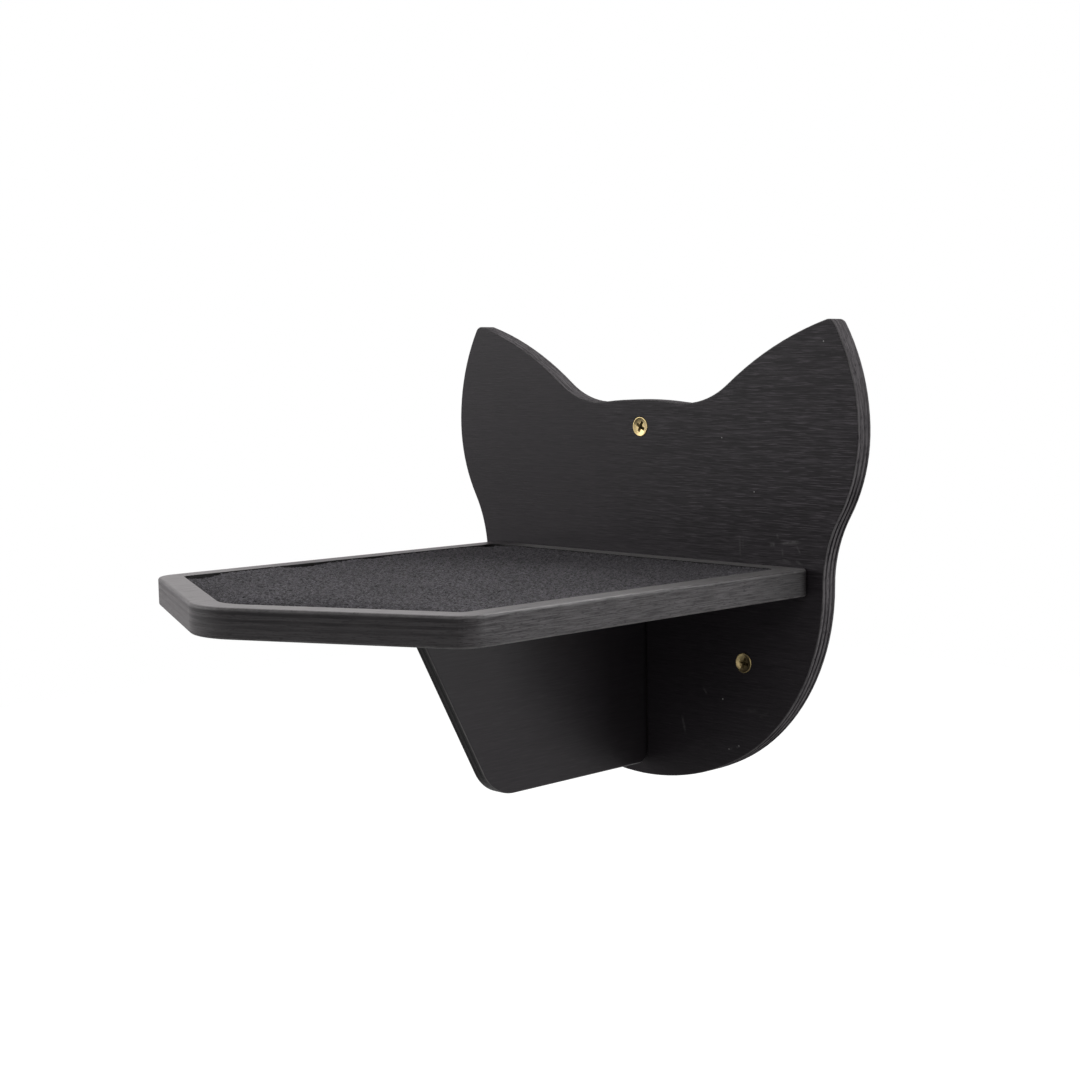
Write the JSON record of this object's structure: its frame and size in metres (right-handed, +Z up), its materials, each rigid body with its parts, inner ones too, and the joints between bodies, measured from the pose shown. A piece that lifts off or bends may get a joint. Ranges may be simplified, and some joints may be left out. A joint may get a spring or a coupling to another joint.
{
  "type": "cat wall step",
  "caption": "Wall-mounted cat step: a cat-head back plate carries a pentagon shelf with a carpet pad let into its top, and a gusset bracket props the shelf from below.",
  "frame": {"origin": "on the back plate's rear face, the wall plane, in the middle of its width and level with the shelf's top", "axes": "+Y into the wall, +Z up, +X to the viewer's right when facing the wall"},
  "size_m": [0.2498, 0.2885, 0.2104],
  "materials": {
    "stained_plywood": "black stained birch plywood, satin, sanded edges",
    "carpet": "dark grey short pile",
    "yellow_zinc": "yellow zinc plated steel",
    "bright_zinc": "bright zinc plated steel",
    "beech": "raw beech"
  },
  "bodies": {
    "root": {"back_plate": "stained_plywood", "shelf_board": "stained_plywood", "support_bracket": "stained_plywood", "carpet_pad": "carpet", "wall_screw_top": "yellow_zinc", "wall_screw_left": "yellow_zinc", "wall_screw_right": "yellow_zinc", "shelf_screw_left": "bright_zinc", "shelf_screw_middle": "bright_zinc", "shelf_screw_right": "bright_zinc", "bracket_screw_upper": "bright_zinc", "bracket_screw_lower": "bright_zinc", "floor_screw_rear": "bright_zinc", "floor_screw_front": "bright_zinc", "dowel_left": "beech", "dowel_right": "beech"}
  },
  "joints": []
}
